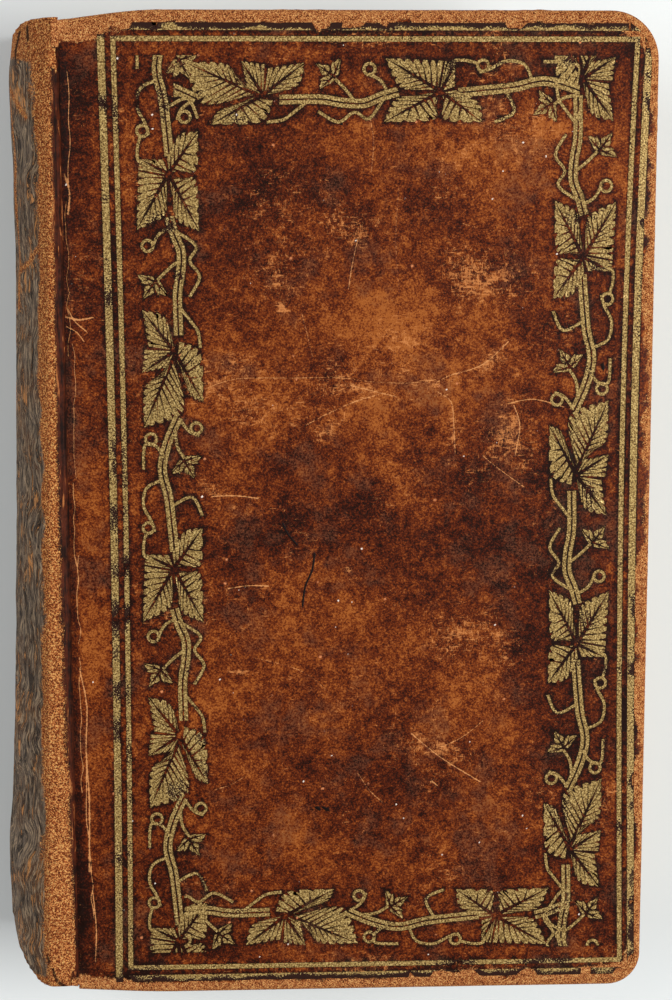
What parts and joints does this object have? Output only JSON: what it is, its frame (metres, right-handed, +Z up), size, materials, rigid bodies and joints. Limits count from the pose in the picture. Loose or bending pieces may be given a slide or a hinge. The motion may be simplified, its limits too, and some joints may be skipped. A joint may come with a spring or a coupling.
{
  "type": "antique leather book",
  "caption": "Small closed antique book bound in worn calf, with a rounded tight back, hinged covers, gilt double fillets and a gilt vine-leaf border.",
  "frame": {"origin": "on the ground plane under the middle of the closed book's bounding box, the book lying on its back cover", "axes": "+X from the spine to the fore edge, +Y from the tail to the head, +Z up from the back cover to the front cover"},
  "size_m": [0.1168, 0.177, 0.0323],
  "materials": {
    "calf": "dark red-brown mottled calf, polished by handling, worn to tan suede at the edges",
    "spine_calf": "weathered dark grey calf, streaked along the spine, tan suede on the joint ridges",
    "gilt": "dulled gold leaf tooled into the leather",
    "leaves": "browned rag-paper edges",
    "endpaper": "plain aged wove paper, lightly foxed",
    "lining": "glued waste paper and mull",
    "pasteboard": "grey-brown laminated pasteboard",
    "hemp": "twisted hemp cord, glue-stiff",
    "endband_thread": "linen thread worked over a core, soiled"
  },
  "bodies": {
    "book_block": {"text_block": "leaves", "front_flyleaf": "endpaper", "back_flyleaf": "endpaper", "spine_lining": "lining", "head_endband": "endband_thread", "sewing_cord_1": "hemp", "sewing_cord_2": "hemp", "sewing_cord_3": "hemp", "sewing_cord_4": "hemp", "spine_leather": "spine_calf"},
    "front_cover": {"front_board": "pasteboard", "front_cord_slips": "hemp", "front_cover_leather": "calf", "front_pastedown": "endpaper", "front_gilt_fillets": "gilt", "front_vine_border": "gilt"},
    "back_cover": {"back_board": "pasteboard", "back_cord_slips": "hemp", "back_cover_leather": "calf", "back_pastedown": "endpaper", "back_gilt_fillets": "gilt", "back_vine_border": "gilt"}
  },
  "joints": [
    {"name": "front_cover_hinge", "type": "hinge", "parent": "book_block", "child": "front_cover", "pos_m": [-0.04564, 0, 0.0323], "axis": [0, -1, 0], "range_deg": [0, 180]},
    {"name": "back_cover_hinge", "type": "hinge", "parent": "book_block", "child": "back_cover", "pos_m": [-0.04564, 0, 0], "axis": [0, 1, 0], "range_deg": [0, 180]}
  ]
}
